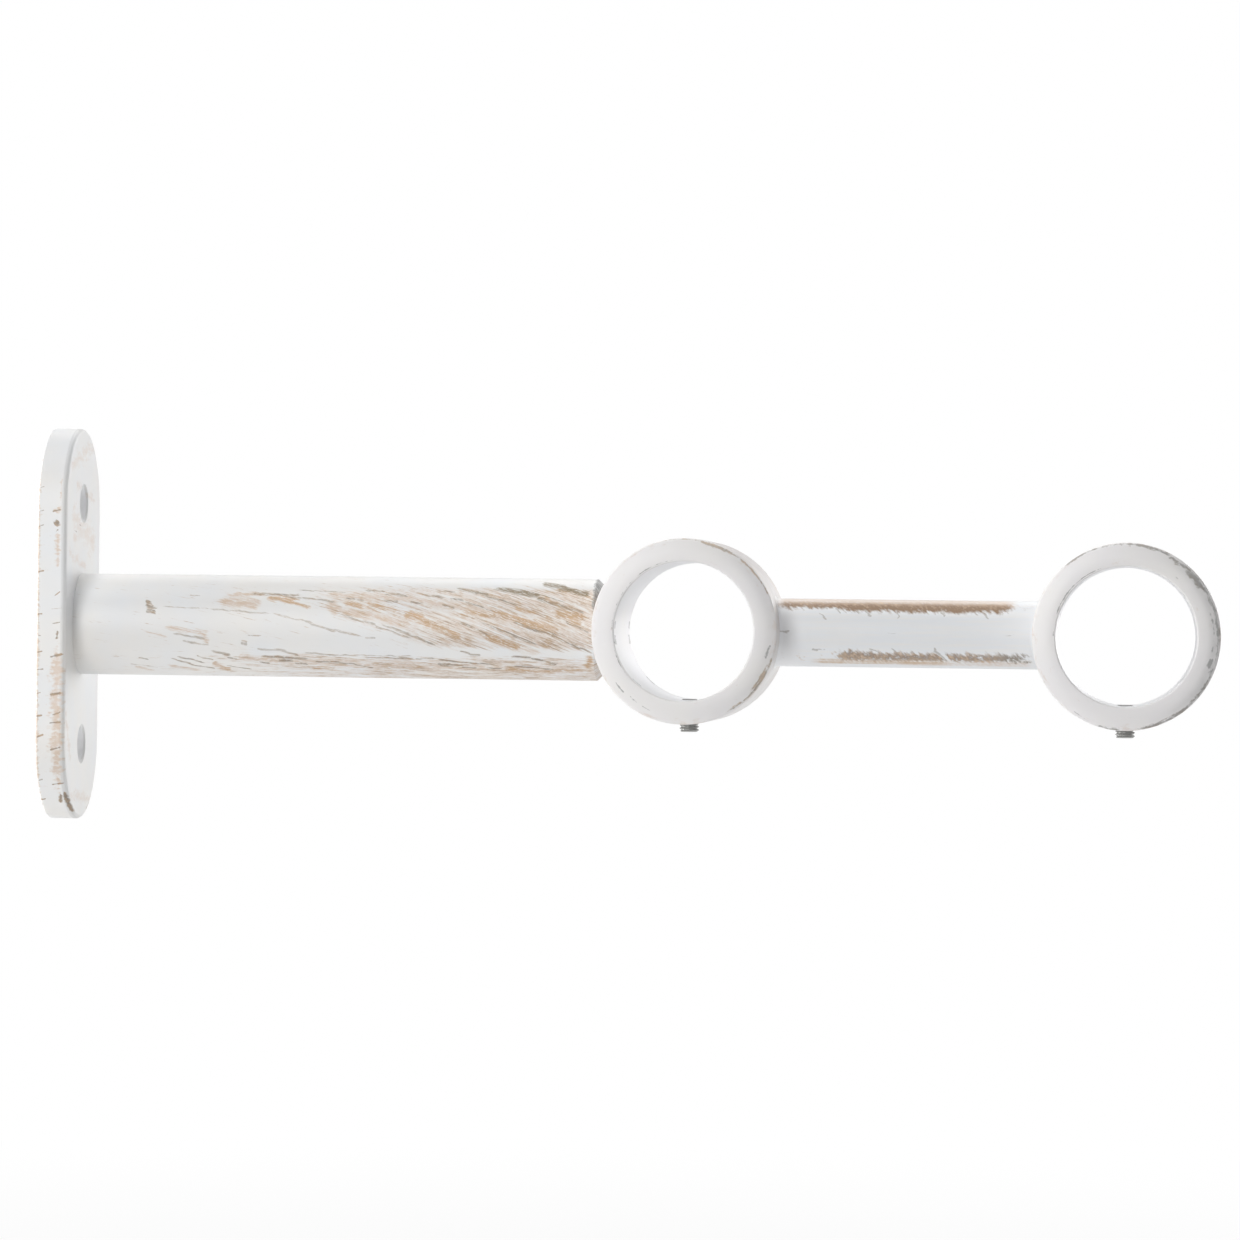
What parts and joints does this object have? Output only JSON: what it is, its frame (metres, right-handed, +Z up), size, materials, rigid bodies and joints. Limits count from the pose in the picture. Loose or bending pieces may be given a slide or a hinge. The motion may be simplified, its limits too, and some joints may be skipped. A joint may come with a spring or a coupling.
{
  "type": "curtain pole bracket",
  "caption": "Wall bracket for parallel curtain poles: an upright round-ended plate, a round stem and a thinner neck carry closed rings in line, with a grub screw under each ring.",
  "frame": {"origin": "centre of the wall plate's back face, on the wall", "axes": "+X out from the wall along the arm, +Y along the poles, +Z up with the grub screws at the bottom of the rings"},
  "size_m": [0.1785, 0.025, 0.06],
  "materials": {
    "distressed_white_paint": "satin white paint on steel, brushed off in streaks and along the edges to a gold-brown bronze",
    "dark_screw_steel": "dark grey, dull",
    "zinc_plated_steel": "bright zinc plating, satin"
  },
  "bodies": {
    "root": {"wall_plate": "distressed_white_paint", "stem": "distressed_white_paint", "inner_ring": "distressed_white_paint", "neck_rod": "distressed_white_paint", "outer_ring": "distressed_white_paint", "inner_grub_screw": "dark_screw_steel", "outer_grub_screw": "dark_screw_steel", "plate_screw": "zinc_plated_steel"}
  },
  "joints": []
}
